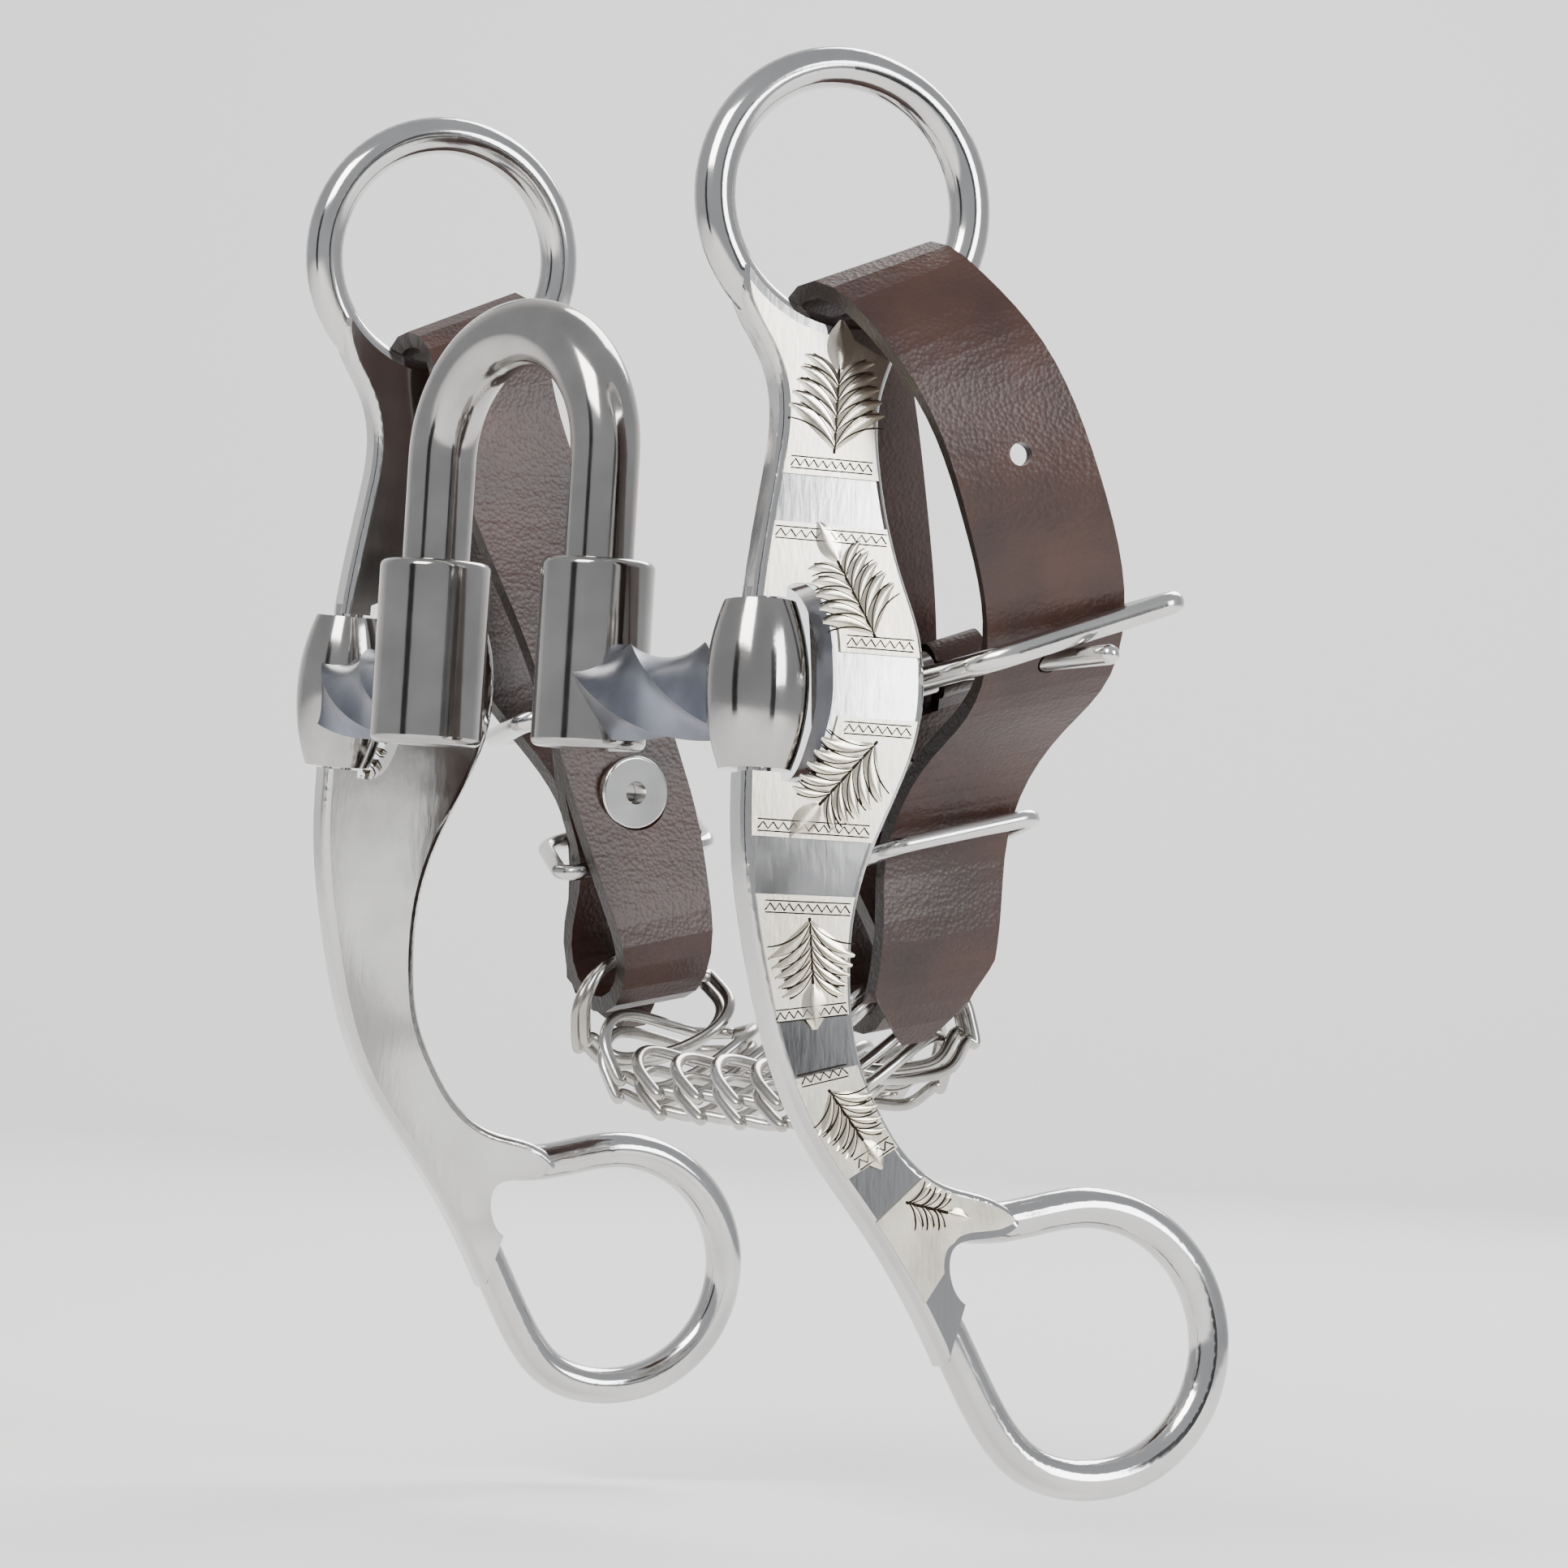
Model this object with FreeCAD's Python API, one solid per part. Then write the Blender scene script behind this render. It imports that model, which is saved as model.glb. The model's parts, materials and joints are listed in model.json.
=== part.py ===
"""Curb bit with a correction port: two loose shanks, jointed mouthpiece, leather curb straps and chain.

Row frame in millimetres: +X across the mouth towards the right shank, +Y back towards the rein loops,
+Z up.  The origin is the middle of the mouthpiece.
"""
import FreeCAD, Part
import math
import os

os.makedirs("parts", exist_ok=True)
V = FreeCAD.Vector
ROT = FreeCAD.Rotation
PLACE = FreeCAD.Placement
UP = V(0, 0, 1)

# mouthpiece
MOUTH = 130.4            # between the two post axes
BAR_LENGTH = 47.0        # post axis to sleeve axis
LEG_SPACING = 38.0       # between the port's legs
RIGHT_BAR_TURN = 1.0     # how far each link stands off the line across the mouth, degrees
PORT_TURN = 12.0
ROD_R = 5.3              # port rod
SLEEVE_R = 8.65
SLEEVE_H = 28.5
SLEEVE_MID_Z = 5.0
PORT_TOP_Z = 59.5
BAR_SIDE = 10.2
BAR_TWIST = 200.0
BARREL_END_R = 5.2
BARREL_MID_R = 7.5
BARREL_H = 24.4
POST_R = 2.4
RUN_GAP = 0.05           # radial gap of a running fit
CAP_R = 6.8
CAP_T = 1.8

# shanks
SWIVEL = -10.0           # both shanks stand turned by this much, degrees
SPLAY = 4.0              # each lower end leans outward by this much
PLATE_T = 6.4
WIRE_R = 3.0
RING_C = (10.8, 71.4)    # headstall ring centre, as (back, up) from the post's middle
RING_R = 20.0
LOOP_C = (54.8, -92.5)
LOOP_R = 19.8
WINDOW_HALF = 12.6
PANEL_T = 0.5
PANEL_INSET = 1.1

# leather and chain
STRAP_W = 21.0
STRAP_T = 2.6
FOLD_SEARCH = 12         # the fold lies past this station
FOLD_W = 15.0            # the strap is pared narrower where it passes through the chain
STRAP_SECTIONS = 96
BUCKLE_WIRE_R = 1.7
BUCKLE_HALF = 15.6       # half the length of the buckle's bars
KEEPER_WIRE_R = 1.3
KEEPER_HALF = 14.0
FRAME_BEND = 4.0         # corner radius of the buckle and keeper
TONGUE_R = 1.5
TONGUE_DROP = 4.5
FLAP_EYE_R = 4.3         # the flap's wrap round the buckle's rear bar
HOLE_R = 1.7             # punched holes
HEAD_R = 6.0
HEAD_T = 1.3
SCREW_TUBE_R = 2.7
SCREW_R = 1.8
MID_X = 2.6              # middle between the two straps
SCREW_X = 35.4           # screws from that middle
SCREW_Y = 37.0
SCREW_Z = -13.5
CHAIN_WIRE_R = 0.95
RING_WIDE = 26.0
RING_LONG = 17.0
RING_TWIST = 3.0
PAIR_GAP = 3.2
PAIRS = 8
CHAIN_SAG = 17.8
CHAIN_START = (-36.2, 41.0, -40.6)   # the bar of the first ring, inside the left strap's fold
CHAIN_STOP = (41.4, 42.0, -40.6)
CHAIN_PULL = 1.0         # how straight down the chain starts
CHAIN_LEAN = 0.21        # how far back the hanging chain leans, per unit of drop


def save(name, shape):
    if shape.ShapeType == "Compound" and len(shape.Solids) == 1:
        shape = shape.Solids[0]
    shape.exportStep("parts/" + name + ".step")
    print(name, shape.ShapeType, len(shape.Solids), shape.isValid(), round(shape.Volume, 1))


def spline(points, closed=False):
    curve = Part.BSplineCurve()
    curve.interpolate([V(*p) for p in points], PeriodicFlag=closed)
    return curve.toShape()


def in_plane(points):
    """(back, up) pairs as points of the shank's middle plane."""
    return [(0, s, z) for s, z in points]


def tube(path, radius):
    edge = path.Edges[0]
    start = edge.valueAt(edge.FirstParameter)
    profile = Part.Wire(Part.makeCircle(radius, start, edge.tangentAt(edge.FirstParameter)))
    return Part.Wire(path.Edges).makePipeShell([profile], True, False)


def slab(wire, low, high):
    """A closed outline of the middle plane, extruded outward from low to high."""
    face = Part.Face(wire)
    face.translate(V(low, 0, 0))
    return face.extrude(V(high - low, 0, 0))


# ---------------------------------------------------------------- shank
FRONT_EDGE = [(-5.9, 60.5), (-3.6, 52.6), (-0.6, 47.6), (1.1, 41.5), (0.4, 31.0), (-1.2, 20.0), (-2.4, 8.0),
              (-2.8, -12.0), (-2.4, -24.0), (-0.9, -34.0), (1.4, -44.0), (5.6, -57.0), (11.5, -67.3),
              (17.8, -75.2), (22.8, -81.8), (27.4, -88.9), (31.6, -96.5)]
BACK_EDGE = [(34.2, -87.5), (31.6, -83.0), (32.2, -79.4), (36.5, -78.0), (42.5, -74.9)]
BACK_RISE = [(42.5, -74.9), (36.4, -71.6), (31.0, -70.4), (25.3, -67.0), (20.3, -60.4), (16.8, -53.0),
             (15.2, -44.0), (15.2, -34.0), (16.8, -26.0), (19.6, -18.6), (22.4, -12.0), (24.4, -5.5),
             (25.0, 1.5), (24.0, 9.0), (21.4, 16.0), (18.8, 24.0), (17.0, 33.0), (16.6, 41.0), (18.4, 48.0),
             (21.5, 54.4)]
SLOT = [(2.6, 14.2), (6.2, 14.6), (9.0, 11.0), (10.3, 4.0), (10.4, -2.0), (9.0, -8.2), (6.6, -13.0),
        (2.6, -13.8)]
PANEL_BANDS = [
    [(-12, 62.0), (24, 45.0), (24, 30.6), (-12, 30.6)],
    [(-12, 23.6), (40, 23.6), (40, 5.4), (-12, 5.4)],
    [(-12, -3.9), (40, -3.9), (40, -21.9), (-12, -21.9)],
    [(-12, -30.4), (40, -29.4), (40, -43.0), (-12, -50.6)],
    [(-2, -58.6), (40, -47.6), (40, -54.0), (8.0, -74.9)],
    [(19.5, -76.5), (28.6, -67.8), (42.5, -70.5), (42.5, -75.0), (33.0, -79.2), (27.0, -88.6)],
]


def plate_outline():
    front = spline(in_plane(FRONT_EDGE))
    bottom = Part.makeLine(V(0, *FRONT_EDGE[-1]), V(0, *BACK_EDGE[0]))
    crotch = spline(in_plane(BACK_EDGE))
    back = spline(in_plane(BACK_RISE))
    top = Part.makeLine(V(0, *BACK_RISE[-1]), V(0, *FRONT_EDGE[0]))
    return Part.Wire([front, bottom, crotch, back, top])


def shank_plate():
    plate = slab(plate_outline(), -PLATE_T / 2, PLATE_T / 2)
    long_edges = [e for e in plate.Edges if e.Length > 60]
    plate = plate.makeFillet(1.3, long_edges)
    hole = Part.makeCylinder(RING_R - 1.0, PLATE_T * 2, V(-PLATE_T, *RING_C), V(1, 0, 0))
    return plate.cut(hole)


def slot_cutter():
    outline = Part.Wire([spline(in_plane(SLOT)), Part.makeLine(V(0, *SLOT[-1]), V(0, *SLOT[0]))])
    reach = PLATE_T * 2
    front = Part.makeBox(2 * reach, 20.0, 2 * WINDOW_HALF, V(-reach, -20 + SLOT[0][0], -WINDOW_HALF))
    return slab(outline, -reach, reach).fuse(front)


def rein_loop():
    def on_circle(deg):
        a = math.radians(deg)
        return (LOOP_C[0] + LOOP_R * math.cos(a), LOOP_C[1] + LOOP_R * math.sin(a))
    points = [(33.5, -75.4), (42.5, -75.0)]
    points += [on_circle(deg) for deg in (92, 60, 30, 0, -30, -60, -90, -118)]
    points += [(38.2, -101.5), (33.4, -93.0), (29.0, -85.6), (25.2, -80.0)]
    return tube(spline(in_plane(points)), WIRE_R)


def shank():
    ring = Part.makeTorus(RING_R, WIRE_R, V(0, *RING_C), V(1, 0, 0))
    post = Part.makeCylinder(POST_R, 2 * WINDOW_HALF + 3, V(0, 0, -WINDOW_HALF - 1.5), UP)
    body = shank_plate().cut(slot_cutter())
    return body.fuse([ring, rein_loop(), post]).removeSplitter()


def panel_field():
    """The plate's outer face drawn in from its edges, as thick as a panel."""
    field = slab(plate_outline(), PLATE_T / 2, PLATE_T / 2 + PANEL_T)
    whole = field.copy()
    for back, rise in ((1, 0), (-1, 0), (0, 1), (0, -1)):
        moved = whole.copy()
        moved.translate(V(0, back * PANEL_INSET, rise * PANEL_INSET))
        field = field.common(moved)
    slot = slot_cutter()
    wide = slot.copy()
    wide.translate(V(0, PANEL_INSET, 0))
    hole = Part.makeCylinder(RING_R + 0.4, PLATE_T * 2, V(0, *RING_C), V(1, 0, 0))
    return field.cut(slot.fuse(wide)).cut(hole)


def panel(band, field):
    """One raised panel: the field cut to a band."""
    corners = in_plane(band + band[:1])
    cutter = slab(Part.makePolygon([V(*c) for c in corners]), 0, PLATE_T * 2)
    return max(field.common(cutter).Solids, key=lambda s: s.Volume)


# ---------------------------------------------------------------- mouthpiece
def barrel_outer():
    half = BARREL_H / 2
    side = Part.Arc(V(BARREL_END_R, 0, -half), V(BARREL_MID_R, 0, 0), V(BARREL_END_R, 0, half)).toShape()
    rest = Part.makePolygon([V(BARREL_END_R, 0, half), V(0, 0, half), V(0, 0, -half), V(BARREL_END_R, 0, -half)])
    face = Part.Face(Part.Wire([side] + rest.Edges))
    return face.revolve(V(0, 0, 0), UP, 360)


def barrel():
    bore = Part.makeCylinder(POST_R + RUN_GAP, BARREL_H + 2, V(0, 0, -BARREL_H / 2 - 1), UP)
    return barrel_outer().cut(bore)


def sleeve_outer():
    body = Part.makeCylinder(SLEEVE_R, SLEEVE_H, V(0, 0, SLEEVE_MID_Z - SLEEVE_H / 2), UP)
    rims = [e for e in body.Edges if abs(e.Length - 2 * math.pi * SLEEVE_R) < 0.01]
    return body.makeFillet(1.2, rims)


def sleeve():
    low = SLEEVE_MID_Z - SLEEVE_H / 2
    bore = Part.makeCylinder(ROD_R + RUN_GAP, SLEEVE_H + 2, V(0, 0, low - 1), UP)
    recess = Part.makeCylinder(CAP_R + RUN_GAP, CAP_T + 0.4, V(0, 0, low), UP)
    return sleeve_outer().cut(bore).cut(recess)


def twisted_bar():
    """Square bar with a slow twist, along +X from the origin."""
    steps = 12
    half = BAR_SIDE / 2
    sections = []
    for i in range(steps + 1):
        x = BAR_LENGTH * i / steps
        corners = []
        for y, z in ((half, half), (-half, half), (-half, -half), (half, -half)):
            corners.append(V(x, y, z))
        outline = Part.makePolygon(corners + corners[:1])
        outline.rotate(V(x, 0, 0), V(1, 0, 0), BAR_TWIST * i / steps)
        sections.append(outline)
    return Part.makeLoft(sections, True, False)


def port():
    low = SLEEVE_MID_Z - SLEEVE_H / 2 + CAP_T
    reach = LEG_SPACING / 2
    bend_z = PORT_TOP_Z - ROD_R - reach
    left = Part.makeLine(V(-reach, 0, low), V(-reach, 0, bend_z))
    bend = Part.Arc(V(-reach, 0, bend_z), V(0, 0, bend_z + reach), V(reach, 0, bend_z)).toShape()
    right = Part.makeLine(V(reach, 0, bend_z), V(reach, 0, low))
    profile = Part.Wire(Part.makeCircle(ROD_R, V(-reach, 0, low), UP))
    return Part.Wire([left, bend, right]).makePipeShell([profile], True, False)


def end_cap():
    return Part.makeCylinder(CAP_R, CAP_T, V(0, 0, SLEEVE_MID_Z - SLEEVE_H / 2), UP)


def plan(x, y, turn, length):
    """The point a given length along -X from (x, y), after turning by turn degrees."""
    a = math.radians(turn)
    return x - length * math.cos(a), y - length * math.sin(a)


RIGHT_POST = (MOUTH / 2, 0.0)
RIGHT_LEG = plan(*RIGHT_POST, RIGHT_BAR_TURN, BAR_LENGTH)
LEFT_LEG = plan(*RIGHT_LEG, PORT_TURN, LEG_SPACING)
LEFT_BAR_TURN = math.degrees(math.asin(LEFT_LEG[1] / BAR_LENGTH))
LEFT_POST = plan(*LEFT_LEG, LEFT_BAR_TURN, BAR_LENGTH)


def shank_place(side):
    at = RIGHT_POST if side > 0 else LEFT_POST
    turn = ROT(UP, SWIVEL) * ROT(V(0, 1, 0), -side * SPLAY)
    return PLACE(V(at[0], at[1], 0), turn)


def sided(shape, side):
    """The right-hand shape, or its mirror image for the left."""
    if side > 0:
        return shape.copy()
    return shape.mirror(V(0, 0, 0), V(1, 0, 0))


def put(shape, placement):
    out = shape.copy()
    out.Placement = placement.multiply(out.Placement)
    return out


def build_shanks():
    base = shank()
    field = panel_field()
    panels = [panel(band, field) for band in PANEL_BANDS]
    for name, side in (("right", 1), ("left", -1)):
        place = shank_place(side)
        save(name + "_shank", put(sided(base, side), place))
        for i, piece in enumerate(panels):
            save("%s_panel_%d" % (name, i + 1), put(sided(piece, side), place))


def build_mouthpiece():
    for name, side, post, leg in (("right", 1, RIGHT_POST, RIGHT_LEG), ("left", -1, LEFT_POST, LEFT_LEG)):
        place = shank_place(side)
        save(name + "_barrel", put(barrel(), place))
        at_leg = PLACE(V(leg[0], leg[1], 0), ROT())
        save(name + "_sleeve", put(sleeve(), at_leg))
        along = math.degrees(math.atan2(post[1] - leg[1], post[0] - leg[0]))
        bar = put(twisted_bar(), PLACE(V(leg[0], leg[1], -0.8), ROT(UP, along)))
        bar = bar.cut(put(sleeve_outer(), at_leg)).cut(put(barrel_outer(), place))
        save(name + "_bar", max(bar.Solids, key=lambda s: s.Volume))
        save(name + "_end_cap", put(end_cap(), at_leg))
    middle = V((RIGHT_LEG[0] + LEFT_LEG[0]) / 2, (RIGHT_LEG[1] + LEFT_LEG[1]) / 2, 0)
    save("port", put(port(), PLACE(middle, ROT(UP, PORT_TURN))))


# ---------------------------------------------------------------- leather
# Each station is the strap's middle: x, y, z, then its width direction as turn and rise in degrees.
RIGHT_LEATHER = [
    (48.4, 40.5, -49.6, 0, 12), (52.8, 40.6, -40.0, 0, 12), (53.2, 41.0, -30.0, 0, 12),
    (53.0, 41.2, -21.0, 4, 12), (56.0, 41.8, -12.5, 6, 13), (63.4, 42.6, -4.5, 12, 14),
    (73.0, 43.2, 3.0, 18, 15), (79.6, 40.8, 13.0, 24, 19), (82.6, 34.0, 29.0, 18, 23),
    (79.8, 26.5, 46.0, 8, 27), (73.0, 19.5, 57.0, 0, 25), (64.4, 15.6, 61.8, 0, 22),
    (57.6, 15.4, 57.2, 0, 19), (56.0, 16.8, 50.0, 0, 17), (54.8, 20.0, 40.0, 0, 17),
    (51.8, 24.5, 28.0, 0, 17), (46.2, 31.0, 11.0, 0, 17), (40.7, 36.0, -8.0, 0, 16),
    (37.2, 39.0, -20.0, 0, 15), (33.7, 41.3, -32.0, 0, 14), (32.9, 42.4, -38.0, 0, 13),
    (35.1, 43.0, -44.2, 0, 12), (41.4, 43.2, -46.8, 0, 12), (47.7, 43.0, -44.2, 0, 12),
    (49.7, 42.4, -38.0, 0, 13), (47.0, 41.3, -30.0, 0, 14), (43.2, 39.6, -22.0, 0, 15),
    (41.6, 38.0, -15.5, 0, 16), (43.8, 36.8, -8.0, 0, 16), (46.0, 36.6, -2.6, 8, 18),
    (49.3, 36.9, 1.0, 16, 21)]
LEFT_LEATHER = [
    (-44.4, 46.5, -51.0, 0, 12), (-48.8, 46.5, -41.0, 0, 12), (-49.0, 46.2, -31.0, 0, 12),
    (-49.6, 46.0, -22.0, 0, 13), (-54.2, 46.2, -14.0, 0, 14), (-61.6, 44.8, -6.4, 0, 15),
    (-67.6, 38.5, 3.0, 0, 16), (-69.6, 30.0, 15.0, 0, 17), (-69.6, 22.5, 29.0, 0, 17),
    (-68.8, 17.5, 43.0, 0, 18), (-66.8, 14.8, 55.2, 0, 21), (-59.0, 14.4, 61.8, 0, 24),
    (-51.6, 14.8, 57.6, 0, 22), (-50.4, 16.2, 50.0, 0, 18), (-49.2, 19.2, 40.0, 0, 17),
    (-46.4, 23.6, 28.0, 0, 17), (-41.0, 30.0, 11.0, 0, 17), (-35.5, 35.0, -8.0, 0, 16),
    (-32.0, 38.0, -20.0, 0, 15), (-28.5, 40.3, -32.0, 0, 14), (-27.7, 41.4, -38.0, 0, 13),
    (-29.9, 42.0, -44.2, 0, 12), (-36.2, 42.2, -46.8, 0, 12), (-42.5, 42.0, -44.2, 0, 12),
    (-44.7, 41.4, -38.0, 0, 13), (-41.8, 41.0, -30.0, 0, 14), (-38.0, 39.8, -22.0, 0, 15),
    (-36.8, 37.0, -15.5, 0, 16), (-38.7, 36.2, -9.0, 0, 16), (-40.8, 36.4, -4.4, 0, 17),
    (-43.0, 37.2, -2.0, 0, 18)]


def width_dir(turn, rise):
    t, r = math.radians(turn), math.radians(rise)
    return V(math.sin(t) * math.cos(r), math.cos(t) * math.cos(r), math.sin(r))


class Ribbon:
    """A leather strap's middle line with its width direction."""

    def __init__(self, stations):
        self.curve = Part.BSplineCurve()
        middles = [V(*s[:3]) for s in stations]
        self.curve.interpolate(middles)
        self.knots = [self.curve.parameter(m) for m in middles]
        self.angles = [s[3:] for s in stations]
        low = min(range(FOLD_SEARCH, len(stations)), key=lambda i: stations[i][2])
        self.fold = self.knots[low]
        self.fold_reach = self.knots[low + 5] - self.fold

    def frame(self, u):
        """Point, forward, width and thickness directions at parameter u."""
        i = max(k for k in range(len(self.knots) - 1) if self.knots[k] <= u + 1e-9)
        f = (u - self.knots[i]) / (self.knots[i + 1] - self.knots[i])
        turn, rise = [a + f * (b - a) for a, b in zip(self.angles[i], self.angles[i + 1])]
        ahead = V(*self.curve.tangent(u)[0])
        across = width_dir(turn, rise)
        normal = ahead.cross(across).normalize()
        return self.curve.value(u), ahead, across, normal

    def section(self, u):
        at, ahead, across, normal = self.frame(u)
        away = min(1.0, abs(u - self.fold) / self.fold_reach)
        width = FOLD_W + (STRAP_W - FOLD_W) * away ** 2 * (3 - 2 * away)
        corners = []
        for a, b in ((1, 1), (-1, 1), (-1, -1), (1, -1)):
            corners.append(at + across * (a * width / 2) + normal * (b * STRAP_T / 2))
        return Part.makePolygon(corners + corners[:1])

    def nearest(self, x, y, z):
        return self.frame(self.curve.parameter(V(x, y, z)))


def straight_cylinder(at, direction, radius, low, high):
    return Part.makeCylinder(radius, high - low, at + direction * low, direction)


def strap(ribbon):
    first, last = ribbon.curve.FirstParameter, ribbon.curve.LastParameter
    sections = [ribbon.section(first + (last - first) * i / STRAP_SECTIONS) for i in range(STRAP_SECTIONS + 1)]
    band = Part.makeLoft(sections, True, True)
    at, ahead, across, normal = ribbon.frame(first)
    for side in (1, -1):
        tip = at - normal * STRAP_T
        corner = at + across * (side * STRAP_W * 0.6) - normal * STRAP_T
        back = corner + ahead * (STRAP_W * 0.62)
        front = corner - ahead * 3
        end = tip - ahead * 3
        wedge = Part.Face(Part.makePolygon([end, front, back, end])).extrude(normal * (2 * STRAP_T))
        band = band.cut(wedge)
    return band


def bent_wire(edges, radius):
    """A round wire along joined straight and bent edges, open at both ends."""
    first = edges[0]
    at = first.valueAt(first.FirstParameter)
    profile = Part.Wire(Part.makeCircle(radius, at, first.tangentAt(first.FirstParameter)))
    return Part.Wire(edges).makePipeShell([profile], True, False)


def ring_frame(points, radius):
    """A closed wire through corner points, with rounded corners."""
    corners = []
    count = len(points)
    for i, corner in enumerate(points):
        before = (points[i - 1] - corner).normalize()
        after = (points[(i + 1) % count] - corner).normalize()
        start, stop = corner + before * FRAME_BEND, corner + after * FRAME_BEND
        middle = corner + (before + after) * (FRAME_BEND * (1 - math.sqrt(0.5)))
        corners.append((start, middle, stop))
    edges = []
    for i, (start, middle, stop) in enumerate(corners):
        edges.append(Part.Arc(start, middle, stop).toShape())
        edges.append(Part.makeLine(stop, corners[(i + 1) % count][0]))
    half = len(edges) // 2
    return bent_wire(edges[:half], radius).fuse(bent_wire(edges[half:], radius)).removeSplitter()


def loop_frame(rear, front, across, half, radius):
    a = across * half
    return ring_frame([rear - a, front - a, front + a, rear + a], radius)


def tongue(rear, tip, across):
    """A pin that wraps the frame's rear bar and runs out through the strap to the front bar."""
    reach = (tip - rear)
    length = reach.Length
    ahead = reach.normalize()
    lift = ahead.cross(across).normalize()
    start = rear + ahead * (BUCKLE_WIRE_R + 0.9)
    body = straight_cylinder(start, ahead, TONGUE_R, 0, length - 3.0)
    nose = Part.makeSphere(TONGUE_R, start + ahead * (length - 3.0))
    eye = Part.makeCylinder(BUCKLE_WIRE_R + 1.6, 3.4, rear - across * 1.7, across)
    bore = Part.makeCylinder(BUCKLE_WIRE_R + 2 * RUN_GAP, 5, rear - across * 2.5, across)
    return body.fuse([nose, eye]).cut(bore).removeSplitter()


def hollow_screw(at, normal, thick):
    """The threaded post whose head shows on the inner leg, and its screw from the flap's side."""
    half = thick / 2
    head = straight_cylinder(at, normal, HEAD_R, half, half + HEAD_T)
    rim = [e for e in head.Edges if e.Length > 2 * math.pi * (HEAD_R - 0.1)]
    head = head.makeFillet(0.5, [max(rim, key=lambda e: (e.CenterOfMass - at).dot(normal))])
    post = head.fuse(straight_cylinder(at, normal, SCREW_TUBE_R, -half, half + 0.5))
    post = post.cut(straight_cylinder(at, normal, SCREW_R + RUN_GAP, -half - 1, half + HEAD_T + 1))
    screw_head = straight_cylinder(at, normal, HEAD_R, -half - HEAD_T, -half)
    screw = screw_head.fuse(straight_cylinder(at, normal, SCREW_R, -half - 0.5, half * 0.2))
    slot = Part.makeBox(14, 1.2, 0.8)
    slot.translate(V(-7, -0.6, -0.4))
    slot.Placement = PLACE(at - normal * (half + HEAD_T), ROT(V(0, 0, 1), normal)).multiply(slot.Placement)
    return post.removeSplitter(), screw.cut(slot).removeSplitter()


def build_strap(name, stations, side, rear, front, keeper_rear, keeper_front, tilt, punched):
    ribbon = Ribbon(stations)
    across = width_dir(*tilt)
    rear_at, front_at = V(*rear), V(*front)
    frame = loop_frame(rear_at, front_at, across, BUCKLE_HALF, BUCKLE_WIRE_R)
    keeper = loop_frame(V(*keeper_rear), V(*keeper_front), width_dir(0, 14), KEEPER_HALF, KEEPER_WIRE_R)
    away = (front_at - rear_at).normalize()
    tip = front_at + away * 5.0 - UP * TONGUE_DROP
    pin = tongue(rear_at, tip, across)
    band = strap(ribbon)
    # the flap's end is wrapped and stitched round the frame's rear bar
    eye = Part.makeCylinder(FLAP_EYE_R, STRAP_W - 1, rear_at - across * (STRAP_W - 1) / 2, across)
    bar_hole = Part.makeCylinder(BUCKLE_WIRE_R + RUN_GAP, STRAP_W + 6, rear_at - across * (STRAP_W / 2 + 3), across)
    band = band.fuse(eye).cut(bar_hole)
    # the screw goes through the inner leg and the flap where they lie together
    leg_at = ribbon.nearest(side * SCREW_X + MID_X, SCREW_Y, SCREW_Z)[0]
    flap_at = ribbon.nearest(side * (SCREW_X + 3.0) + MID_X, SCREW_Y, SCREW_Z)[0]
    normal = (leg_at - flap_at).normalize()
    centre = (leg_at + flap_at) * 0.5
    thick = (leg_at - flap_at).Length + STRAP_T + 0.1
    post, screw = hollow_screw(centre, normal, thick)
    room = straight_cylinder(centre, normal, HEAD_R + RUN_GAP, thick / 2, thick)
    room = room.fuse(straight_cylinder(centre, normal, HEAD_R + RUN_GAP, -thick, -thick / 2))
    band = band.cut(room.fuse(straight_cylinder(centre, normal, SCREW_TUBE_R + RUN_GAP, -thick, thick)))
    for spot in punched:
        at, ahead, over, out = ribbon.nearest(*spot)
        band = band.cut(straight_cylinder(at, out, HOLE_R, -3, 3))
    # room for the tongue: its hole through the outer leg, and a notch where its eye turns
    line = (tip - rear_at).normalize()
    band = band.cut(straight_cylinder(rear_at, line, TONGUE_R + 0.25, 0, 60))
    notch = Part.makeCylinder(FLAP_EYE_R + 2.5, 4.0, rear_at - across * 2.0, across)
    band = band.cut(notch)
    save(name + "_strap", max(band.Solids, key=lambda s: s.Volume))
    save(name + "_buckle_frame", frame)
    save(name + "_tongue", pin)
    save(name + "_keeper", keeper)
    save(name + "_screw_post", post)
    save(name + "_screw", screw)


def build_straps():
    build_strap("right", RIGHT_LEATHER, 1, (50.6, 37.0, 4.4), (84.6, 43.6, 11.2), (39.0, 39.8, -24.6),
                (57.8, 41.9, -18.6), (16, 21), [(82.6, 31.0, 35.5)])
    build_strap("left", LEFT_LEATHER, -1, (-45.6, 38.4, 1.2), (-70.4, 45.6, -1.2), (-33.8, 38.8, -24.6),
                (-53.9, 46.2, -19.6), (0, 17), [(-69.0, 18.8, 40.0)])


# ---------------------------------------------------------------- chain
def chain_ring():
    """One flat link: a wire ring twisted so that each end's bar leans across the next ring."""
    points = []
    for i in range(9):
        t = math.pi * i / 8
        points.append(V(RING_WIDE / 2 * math.cos(t), RING_LONG / 2 * math.sin(t), -RING_TWIST * math.sin(2 * t)))
    curve = Part.BSplineCurve()
    rise = V(0, RING_LONG / 2, -2 * RING_TWIST)
    fall = V(0, -RING_LONG / 2, -2 * RING_TWIST)
    curve.interpolate(Points=points, InitialTangent=rise, FinalTangent=fall)
    half = tube(curve.toShape(), CHAIN_WIRE_R)
    other = half.copy()
    other.rotate(V(0, 0, 0), UP, 180)
    return half.fuse(other)


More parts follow.
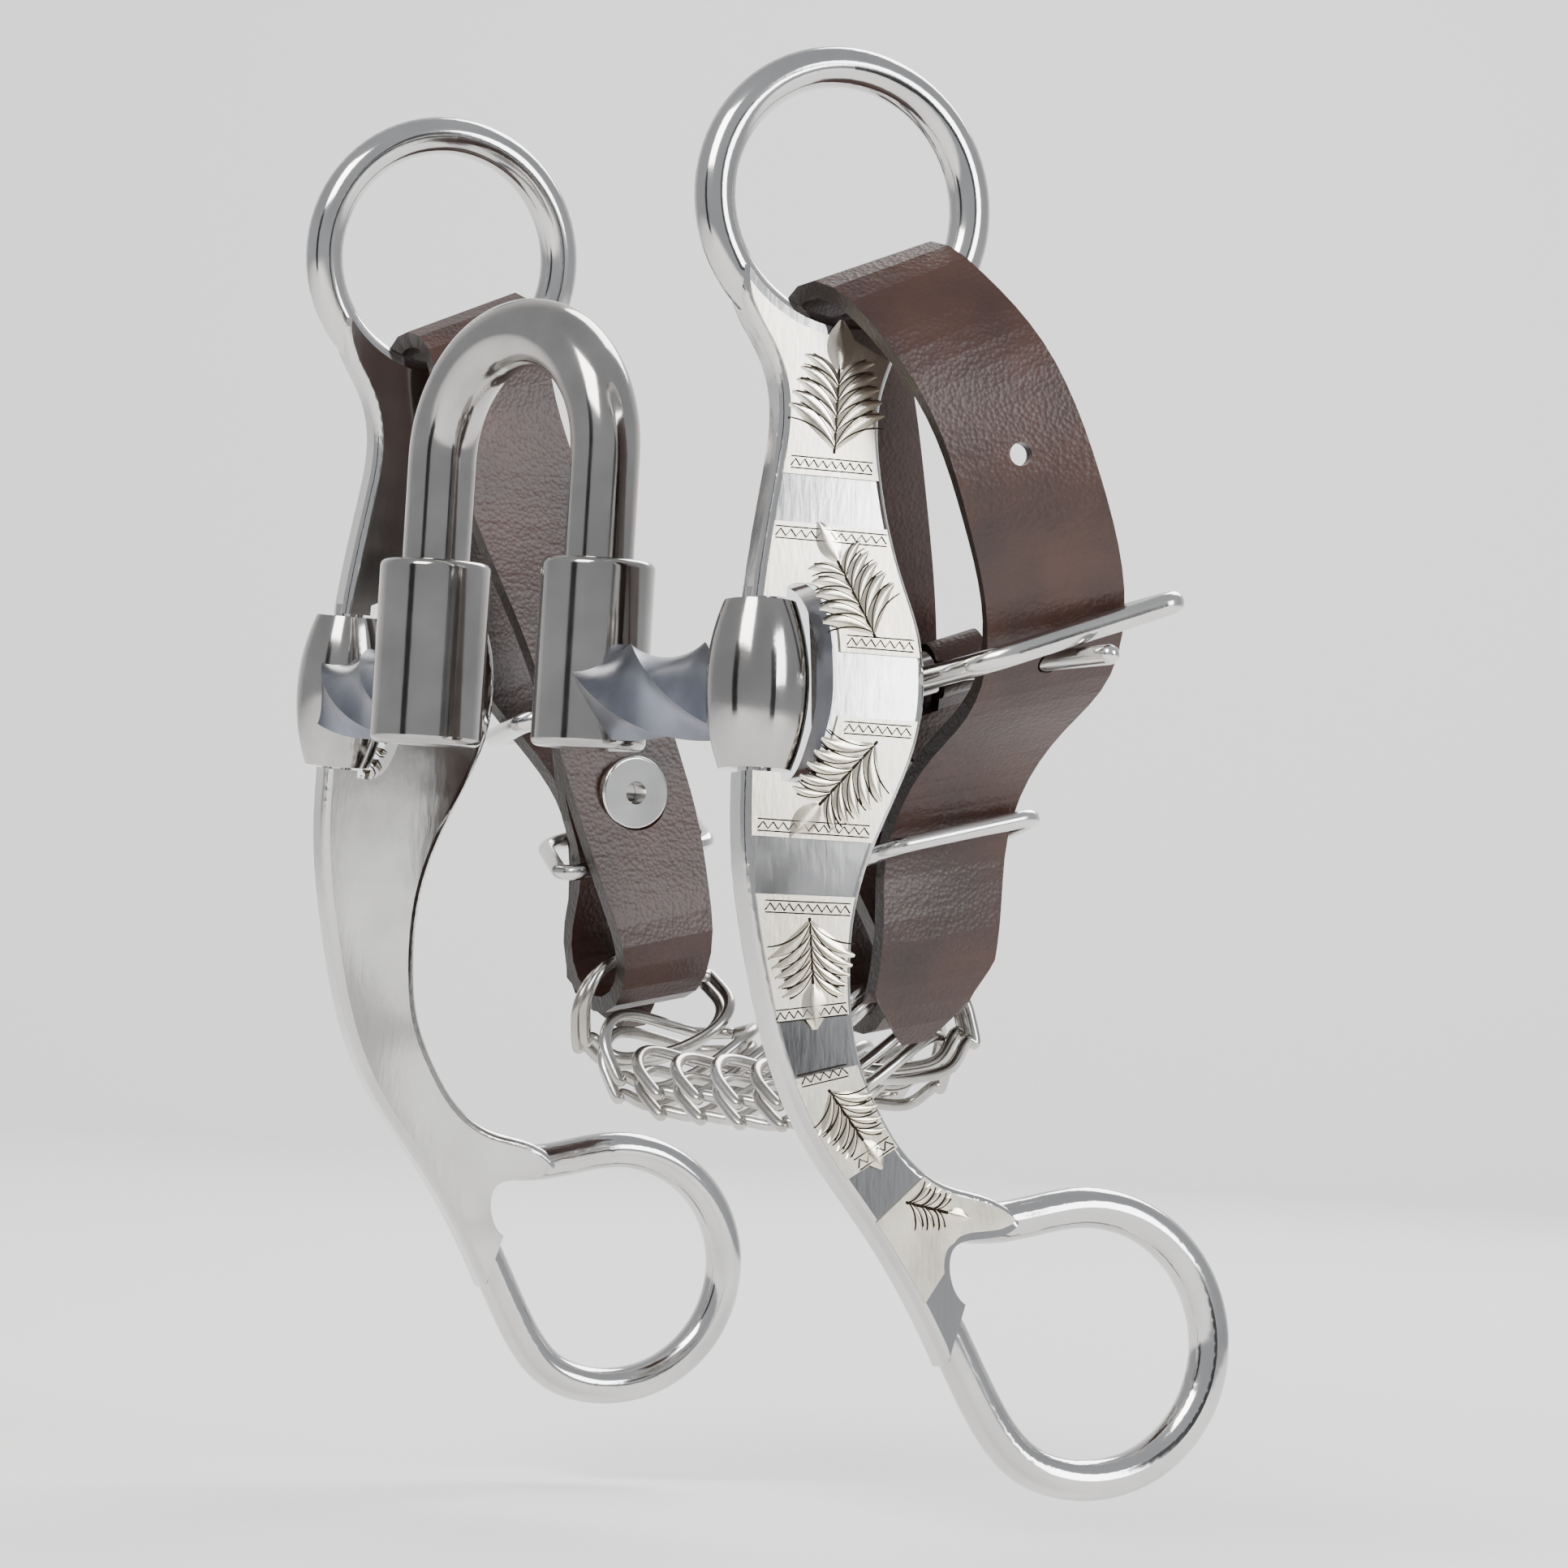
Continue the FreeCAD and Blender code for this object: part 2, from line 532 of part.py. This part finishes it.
def chain_marks():
    """Finely spaced points along the hanging line, with the length reached at each."""
    start, stop = V(*CHAIN_START), V(*CHAIN_STOP)
    drop = V(0, CHAIN_LEAN, -1).normalize()
    line = Part.BSplineCurve()
    points = [start, (start + stop) * 0.5 + drop * CHAIN_SAG, stop]
    line.interpolate(Points=points, InitialTangent=drop * CHAIN_PULL, FinalTangent=drop * -CHAIN_PULL)
    marks = line.discretize(Number=601)
    lengths = [0.0]
    for a, b in zip(marks, marks[1:]):
        lengths.append(lengths[-1] + (b - a).Length)
    return marks, lengths


def chain_places():
    """The middle and direction of each pair of rings, evenly spaced along the hanging line."""
    marks, lengths = chain_marks()
    pitch = (lengths[-1] - RING_LONG) / (PAIRS - 1)
    print("chain length", round(lengths[-1], 1), "pitch", round(pitch, 2))

    def point_at(length):
        i = min(range(len(marks)), key=lambda j: abs(lengths[j] - length))
        return marks[i]
    out = []
    for k in range(PAIRS):
        near, far = point_at(k * pitch), point_at(k * pitch + RING_LONG)
        out.append(((near + far) * 0.5, (far - near).normalize()))
    return out


def build_chain():
    ring = chain_ring()
    across = width_dir(0, 12)
    for k, (at, ahead) in enumerate(chain_places()):
        normal = across.cross(ahead).normalize()
        turn = ROT(across, ahead, normal, "ZXY")
        for letter, offset in (("a", -0.5), ("b", 0.5)):
            place = PLACE(at + normal * (offset * PAIR_GAP), turn)
            save("chain_ring_%d%s" % (k + 1, letter), put(ring, place))


build_shanks()
build_mouthpiece()
build_straps()
build_chain()
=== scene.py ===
"""Looks for the curb bit: polished steel cheeks with engraved panels, twisted bars, straps and chain."""
import json
import math

import bpy
from mathutils import Matrix, Vector


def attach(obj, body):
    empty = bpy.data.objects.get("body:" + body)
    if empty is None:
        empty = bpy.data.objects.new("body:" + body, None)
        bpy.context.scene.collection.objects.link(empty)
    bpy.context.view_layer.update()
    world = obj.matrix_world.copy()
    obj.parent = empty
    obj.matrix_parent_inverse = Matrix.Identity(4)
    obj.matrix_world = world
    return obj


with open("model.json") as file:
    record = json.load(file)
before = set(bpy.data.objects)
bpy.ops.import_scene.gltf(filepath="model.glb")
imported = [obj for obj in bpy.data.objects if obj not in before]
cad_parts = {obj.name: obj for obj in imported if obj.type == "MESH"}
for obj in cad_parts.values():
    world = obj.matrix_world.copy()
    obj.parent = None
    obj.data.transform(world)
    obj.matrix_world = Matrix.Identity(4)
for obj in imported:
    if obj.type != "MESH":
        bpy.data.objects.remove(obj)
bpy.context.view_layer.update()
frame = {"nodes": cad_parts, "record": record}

MM = 0.001

# the cheeks' placement, as in the frame
POST_X = 65.2
SWIVEL = math.radians(-10)
SPLAY = math.radians(4)
PANEL_FACE = 3.7                 # the panels' outer face, out from the cheek's middle plane

# a ribbon's cross-section: place across it (half widths) and height (shares of the relief's height)
PROFILE = ((-1, -0.06), (-0.45, 0.6), (0, 1.0), (0.45, 0.6), (1, -0.06))
LEAF_STEPS = 9                   # stretches along a leaf
LEAF_WIDTH = 0.30                # share of the leaf's length
FROND_START = 24                 # how far off the stem a leaf starts, degrees
FROND_CURL = 52                  # how far it turns away along its length, degrees
CUT_ANGLES = (-10, 11)           # the shading cuts, off the leaf's own direction, degrees
CUT_LENGTH = 0.9                 # share of the leaf's length
CUT_WIDTH = 0.55                 # at its root, millimetres
CUT_TAPER = 0.04                 # width lost at each step
STEM_WIDTH = 0.5
RULE_OFFSET = 0.85               # a border's fine rules, either side of its zigzag
RULE_WIDTH = 0.22
TOOTH_REACH = 0.5
TOOTH_WIDTH = 0.26
LEAF_HEIGHT = 0.24               # how far leaves and cuts stand off the panel, millimetres
CUT_HEIGHT = 0.27

# the camera: where it stands in metres, the way from the object back to it, its lens in millimetres
CAMERA_PLACE = (0.7885, -0.4351, -0.0372)
CAMERA_BACK = (0.8537, -0.5200, -0.0276)
CAMERA_UP = (-0.0074, -0.0652, 0.9978)
CAMERA_LENS = 135
CAMERA_SENSOR = 36

# the stage: sizes and places in metres, turns in radians
STAGE_SIZE = 6
FLOOR_HEIGHT = -0.128
WALL_PLACE = (-1.3, 0.8, 0.5)
WALL_TURN = (math.radians(90), 0, math.radians(58))
CARD_SCALE = (0.22, 0.9, 1)


# ---------------------------------------------------------------- materials
def new_material(name):
    material = bpy.data.materials.new(name)
    material.use_nodes = True
    nodes = material.node_tree.nodes
    return material, nodes, material.node_tree.links, nodes["Principled BSDF"]


def noise(nodes, links, scale, detail=4.0, stretch=(1, 1, 1)):
    """Noise at a real scale: scale is in features per metre."""
    place = nodes.new("ShaderNodeTexCoord")
    mapping = nodes.new("ShaderNodeMapping")
    mapping.inputs["Scale"].default_value = stretch
    texture = nodes.new("ShaderNodeTexNoise")
    texture.inputs["Scale"].default_value = scale
    texture.inputs["Detail"].default_value = detail
    links.new(place.outputs["Object"], mapping.inputs["Vector"])
    links.new(mapping.outputs["Vector"], texture.inputs["Vector"])
    return texture


def ramp(nodes, links, source, low, high, stops=(0.35, 0.65)):
    out = nodes.new("ShaderNodeValToRGB")
    out.color_ramp.elements[0].position, out.color_ramp.elements[1].position = stops
    out.color_ramp.elements[0].color = (*low, 1)
    out.color_ramp.elements[1].color = (*high, 1)
    links.new(source, out.inputs["Fac"])
    return out.outputs["Color"]


def bump(nodes, links, height, distance, strength=1.0):
    out = nodes.new("ShaderNodeBump")
    out.inputs["Distance"].default_value = distance
    out.inputs["Strength"].default_value = strength
    links.new(height, out.inputs["Height"])
    return out.outputs["Normal"]


def metal(name, color, rough, dull_color=None, grain=900.0, relief=0.00002):
    """Metal with faint smudges in its colour and shine, and fine handling marks."""
    material, nodes, links, shader = new_material(name)
    shader.inputs["Metallic"].default_value = 1.0
    smudge = noise(nodes, links, 70.0)
    dull = dull_color or tuple(c * 0.86 for c in color)
    links.new(ramp(nodes, links, smudge.outputs["Fac"], dull, color), shader.inputs["Base Color"])
    span = nodes.new("ShaderNodeMapRange")
    span.inputs["To Min"].default_value = rough * 0.7
    span.inputs["To Max"].default_value = rough * 1.5
    links.new(noise(nodes, links, 160.0).outputs["Fac"], span.inputs["Value"])
    links.new(span.outputs["Result"], shader.inputs["Roughness"])
    marks = noise(nodes, links, grain, 6.0, (1, 1, 0.25))
    links.new(bump(nodes, links, marks.outputs["Fac"], relief, 0.35), shader.inputs["Normal"])
    return material


def leather():
    material, nodes, links, shader = new_material("curb_leather")
    tone = noise(nodes, links, 90.0, 6.0)
    face = ramp(nodes, links, tone.outputs["Fac"], (0.020, 0.008, 0.006), (0.048, 0.019, 0.012), (0.25, 0.75))
    # cut edges are darker: they face along the strap's width
    geometry = nodes.new("ShaderNodeNewGeometry")
    dot = nodes.new("ShaderNodeVectorMath")
    dot.operation = "DOT_PRODUCT"
    dot.inputs[1].default_value = (0.0, 0.96, 0.28)
    links.new(geometry.outputs["True Normal"], dot.inputs[0])
    size = nodes.new("ShaderNodeMath")
    size.operation = "ABSOLUTE"
    links.new(dot.outputs["Value"], size.inputs[0])
    edge = ramp(nodes, links, size.outputs["Value"], (0, 0, 0), (1, 1, 1), (0.80, 0.90))
    mix = nodes.new("ShaderNodeMix")
    mix.data_type = "RGBA"
    links.new(edge, mix.inputs["Factor"])
    links.new(face, mix.inputs["A"])
    mix.inputs["B"].default_value = (0.012, 0.007, 0.005, 1)
    links.new(mix.outputs["Result"], shader.inputs["Base Color"])
    shader.inputs["Roughness"].default_value = 0.40
    grain = nodes.new("ShaderNodeTexVoronoi")
    grain.inputs["Scale"].default_value = 1500.0
    place = nodes.new("ShaderNodeTexCoord")
    links.new(place.outputs["Object"], grain.inputs["Vector"])
    fine = bump(nodes, links, grain.outputs["Distance"], 0.00010, 0.6)
    crease = noise(nodes, links, 260.0, 3.0, (1.0, 0.25, 1.0))
    coarse = nodes.new("ShaderNodeBump")
    coarse.inputs["Distance"].default_value = 0.0003
    coarse.inputs["Strength"].default_value = 0.5
    links.new(crease.outputs["Fac"], coarse.inputs["Height"])
    links.new(fine, coarse.inputs["Normal"])
    links.new(coarse.outputs["Normal"], shader.inputs["Normal"])
    return material


MATERIALS = {
    "polished_steel": metal("polished_steel", (0.60, 0.59, 0.58), 0.10),
    "silver_panel": metal("silver_panel", (0.90, 0.85, 0.73), 0.24, (0.78, 0.71, 0.58), 1500.0, 0.00004),
    "twisted_iron": metal("twisted_iron", (0.22, 0.235, 0.28), 0.30, (0.12, 0.125, 0.145), 700.0, 0.00008),
    "mouth_steel": metal("mouth_steel", (0.44, 0.425, 0.41), 0.11, (0.34, 0.325, 0.31)),
    "buckle_steel": metal("buckle_steel", (0.66, 0.65, 0.63), 0.16),
    "chain_steel": metal("chain_steel", (0.56, 0.55, 0.53), 0.20, (0.36, 0.34, 0.31)),
    "curb_leather": leather(),
}
CUT = metal("engraved_cut", (0.045, 0.034, 0.024), 0.60, (0.02, 0.015, 0.011))
LEAF = metal("engraved_leaf", (0.93, 0.87, 0.73), 0.20, (0.74, 0.66, 0.51), 1500.0, 0.00003)


def dress_frame():
    for entry in frame["record"]["subparts"]:
        node = frame["nodes"][entry["node"]]
        node.data.materials.clear()
        node.data.materials.append(MATERIALS[entry["material_slot"]])


# ---------------------------------------------------------------- engraving
def on_cheek(side, back, up, out):
    """A point given in a cheek's own directions, in millimetres, as a place in the frame."""
    turn = Matrix.Rotation(SWIVEL, 3, "Z") @ Matrix.Rotation(-side * SPLAY, 3, "Y")
    spot = turn @ Vector((side * out, back, up)) + Vector((side * POST_X, 0, 0))
    return spot * MM


class Relief:
    """Collects small raised ribbons on one cheek into one mesh."""

    def __init__(self, side, height):
        self.side = side
        self.height = height
        self.points = []
        self.faces = []

    def ribbon(self, line, widths):
        """A ribbon with a raised middle and sunk edges, along (back, up) points."""
        first = len(self.points)
        count = len(line)
        for i, (point, width) in enumerate(zip(line, widths)):
            ahead = line[min(i + 1, count - 1)] - line[max(i - 1, 0)]
            aside = Vector((-ahead.y, ahead.x)).normalized() * (width / 2)
            for offset, out in PROFILE:
                at = point + aside * offset
                lift = PANEL_FACE + self.height * out
                self.points.append(on_cheek(self.side, at.x, at.y, lift))
        across = len(PROFILE)
        for i in range(count - 1):
            for j in range(across - 1):
                a = first + i * across + j
                quad = (a, a + 1, a + across + 1, a + across)
                self.faces.append(quad if self.side < 0 else quad[::-1])

    def finish(self, name, material):
        mesh = bpy.data.meshes.new(name)
        mesh.from_pydata(self.points, [], self.faces)
        mesh.materials.append(material)
        for face in mesh.polygons:
            face.use_smooth = True
        piece = bpy.data.objects.new(name, mesh)
        bpy.context.collection.objects.link(piece)
        body = "right_cheek" if self.side > 0 else "left_cheek"
        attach(piece, body)


def curved_line(start, direction, length, curl, steps=LEAF_STEPS):
    """Points from start, turning by curl degrees over the length."""
    line = [start.copy()]
    heading = direction
    for _ in range(steps):
        heading = heading + math.radians(curl) / steps
        line.append(line[-1] + Vector((math.cos(heading), math.sin(heading))) * (length / steps))
    return line


def leaf_widths(width, count=LEAF_STEPS + 1):
    """Widths along a leaf: narrow at both ends and widest near the middle."""
    shares = [min(0.97, 0.08 + 0.92 * i / (count - 1)) for i in range(count)]
    return [width * math.sin(math.pi * share) ** 0.8 + 0.08 for share in shares]


def spray(leaves, cuts, start, end, reach, pairs):
    """Paired curved leaves off a stem, with a shading cut along each, and a bud at the stem's end."""
    start, end = Vector(start), Vector(end)
    stem = end - start
    along = math.atan2(stem.y, stem.x)
    cuts.ribbon([start + stem * (i / 8) for i in range(9)], [STEM_WIDTH] * 9)
    for k in range(pairs):
        root = start + stem * (0.06 + 0.80 * k / pairs)
        size = reach * (1.0 - 0.35 * k / pairs)
        for hand in (1, -1):
            line = curved_line(root, along + hand * math.radians(FROND_START), size, hand * FROND_CURL)
            leaves.ribbon(line, leaf_widths(size * LEAF_WIDTH))
            for shade in CUT_ANGLES:
                heading = along + hand * math.radians(FROND_START + shade)
                cut = curved_line(root, heading, size * CUT_LENGTH, hand * FROND_CURL)
                cuts.ribbon(cut, [CUT_WIDTH - CUT_TAPER * i for i in range(LEAF_STEPS + 1)])
    bud = curved_line(end - stem * 0.12, along, reach * 0.75, 0)
    leaves.ribbon(bud, leaf_widths(reach * 0.46))


def zigzag(cuts, start, end, teeth):
    """A zigzag line between two fine rules."""
    start, end = Vector(start), Vector(end)
    run = end - start
    aside = Vector((-run.y, run.x)).normalized()
    for offset in (-RULE_OFFSET, RULE_OFFSET):
        cuts.ribbon([start + run * (i / 6) + aside * offset for i in range(7)], [RULE_WIDTH] * 7)
    line = []
    for i in range(2 * teeth + 1):
        swing = TOOTH_REACH if i % 2 else -TOOTH_REACH
        line.append(start + run * (i / (2 * teeth)) + aside * swing)
    cuts.ribbon(line, [TOOTH_WIDTH] * len(line))


# each spray: stem start and end as (back, up), leaf length, pairs of leaves
SPRAYS = [((9.2, 34.0), (9.6, 48.0), 9.6, 5), ((16.6, 7.8), (9.4, 20.0), 8.2, 5),
          ((17.4, -7.2), (7.4, -18.4), 8.4, 5), ((7.8, -33.2), (8.8, -44.0), 8.6, 5),
          ((11.6, -57.6), (18.0, -65.6), 6.6, 4), ((24.2, -73.2), (31.6, -74.6), 4.6, 3)]
# each border: start and end as (back, up), and its teeth
BORDERS = [((2.6, 32.3), (15.2, 32.3), 9), ((0.6, 22.0), (17.8, 22.0), 11),
           ((12.2, 7.0), (22.6, 7.0), 7), ((12.2, -5.5), (22.6, -5.5), 7),
           ((-0.6, -20.3), (16.6, -20.3), 11), ((1.0, -31.9), (14.0, -31.7), 9),
           ((3.2, -47.6), (14.0, -45.9), 8), ((7.4, -56.6), (14.4, -54.7), 5),
           ((16.4, -68.2), (21.6, -64.6), 4)]


def engrave(side, name):
    leaves, cuts = Relief(side, LEAF_HEIGHT), Relief(side, CUT_HEIGHT)
    for start, end, reach, pairs in SPRAYS:
        spray(leaves, cuts, start, end, reach, pairs)
    for start, end, teeth in BORDERS:
        zigzag(cuts, start, end, teeth)
    leaves.finish(name + "_engraved_leaves", LEAF)
    cuts.finish(name + "_engraved_cuts", CUT)


# ---------------------------------------------------------------- stage
def add_stage():
    bpy.ops.mesh.primitive_plane_add(size=STAGE_SIZE, location=(0, 0, FLOOR_HEIGHT))
    floor = bpy.context.object
    floor.name = "floor"
    bpy.ops.mesh.primitive_plane_add(size=STAGE_SIZE, location=WALL_PLACE, rotation=WALL_TURN)
    wall = bpy.context.object
    wall.name = "backdrop"
    material, nodes, links, shader = new_material("pale_paper")
    shader.inputs["Base Color"].default_value = (0.93, 0.92, 0.91, 1)
    shader.inputs["Roughness"].default_value = 0.85
    grain = noise(nodes, links, 400.0)
    links.new(bump(nodes, links, grain.outputs["Fac"], 0.0001, 0.1), shader.inputs["Normal"])
    for sheet in (floor, wall):
        sheet.data.materials.append(material)
    # dark cards beside the camera give the polished metal its dark reflections
    card, _, _, card_shader = new_material("dark_card")
    card_shader.inputs["Base Color"].default_value = (0.01, 0.01, 0.011, 1)
    card_shader.inputs["Roughness"].default_value = 0.9
    for name, place in (("card_left", (0.20, -0.95, 0.0)), ("card_right", (1.0, 0.10, 0.0))):
        bpy.ops.mesh.primitive_plane_add(size=1, location=place)
        plane = bpy.context.object
        plane.name = name
        plane.scale = CARD_SCALE
        aim = (-Vector(place)).to_track_quat("Z", "Y")
        plane.rotation_euler = aim.to_euler()
        plane.data.materials.append(card)


def add_light(name, place, size, power, color=(1, 1, 1)):
    data = bpy.data.lights.new(name, "AREA")
    data.size = size
    data.energy = power
    data.color = color
    lamp = bpy.data.objects.new(name, data)
    bpy.context.collection.objects.link(lamp)
    lamp.location = place
    lamp.rotation_euler = (Vector((0, 0, 0)) - Vector(place)).to_track_quat("-Z", "Y").to_euler()


def add_lights():
    add_light("key", (0.5, -1.0, 0.9), 0.7, 26, (1, 0.98, 0.95))
    add_light("fill", (1.3, 0.5, 0.5), 0.6, 14, (0.95, 0.97, 1))
    add_light("back", (-0.6, 0.9, 1.0), 0.8, 20)
    world = bpy.data.worlds.new("room")
    world.use_nodes = True
    world.node_tree.nodes["Background"].inputs["Color"].default_value = (0.55, 0.57, 0.60, 1)
    world.node_tree.nodes["Background"].inputs["Strength"].default_value = 1.0
    bpy.context.scene.world = world


def add_camera():
    """A long lens level with the mouthpiece, on the right cheek's side."""
    data = bpy.data.cameras.new("camera")
    data.lens = CAMERA_LENS
    data.sensor_width = CAMERA_SENSOR
    camera = bpy.data.objects.new("camera", data)
    bpy.context.collection.objects.link(camera)
    back = Vector(CAMERA_BACK).normalized()
    right = Vector(CAMERA_UP).cross(back).normalized()
    up = back.cross(right)
    facing = Matrix((right, up, back)).transposed().to_4x4()
    camera.matrix_world = Matrix.Translation(CAMERA_PLACE) @ facing
    bpy.context.scene.camera = camera


dress_frame()
engrave(1, "right")
engrave(-1, "left")
add_stage()
add_lights()
add_camera()
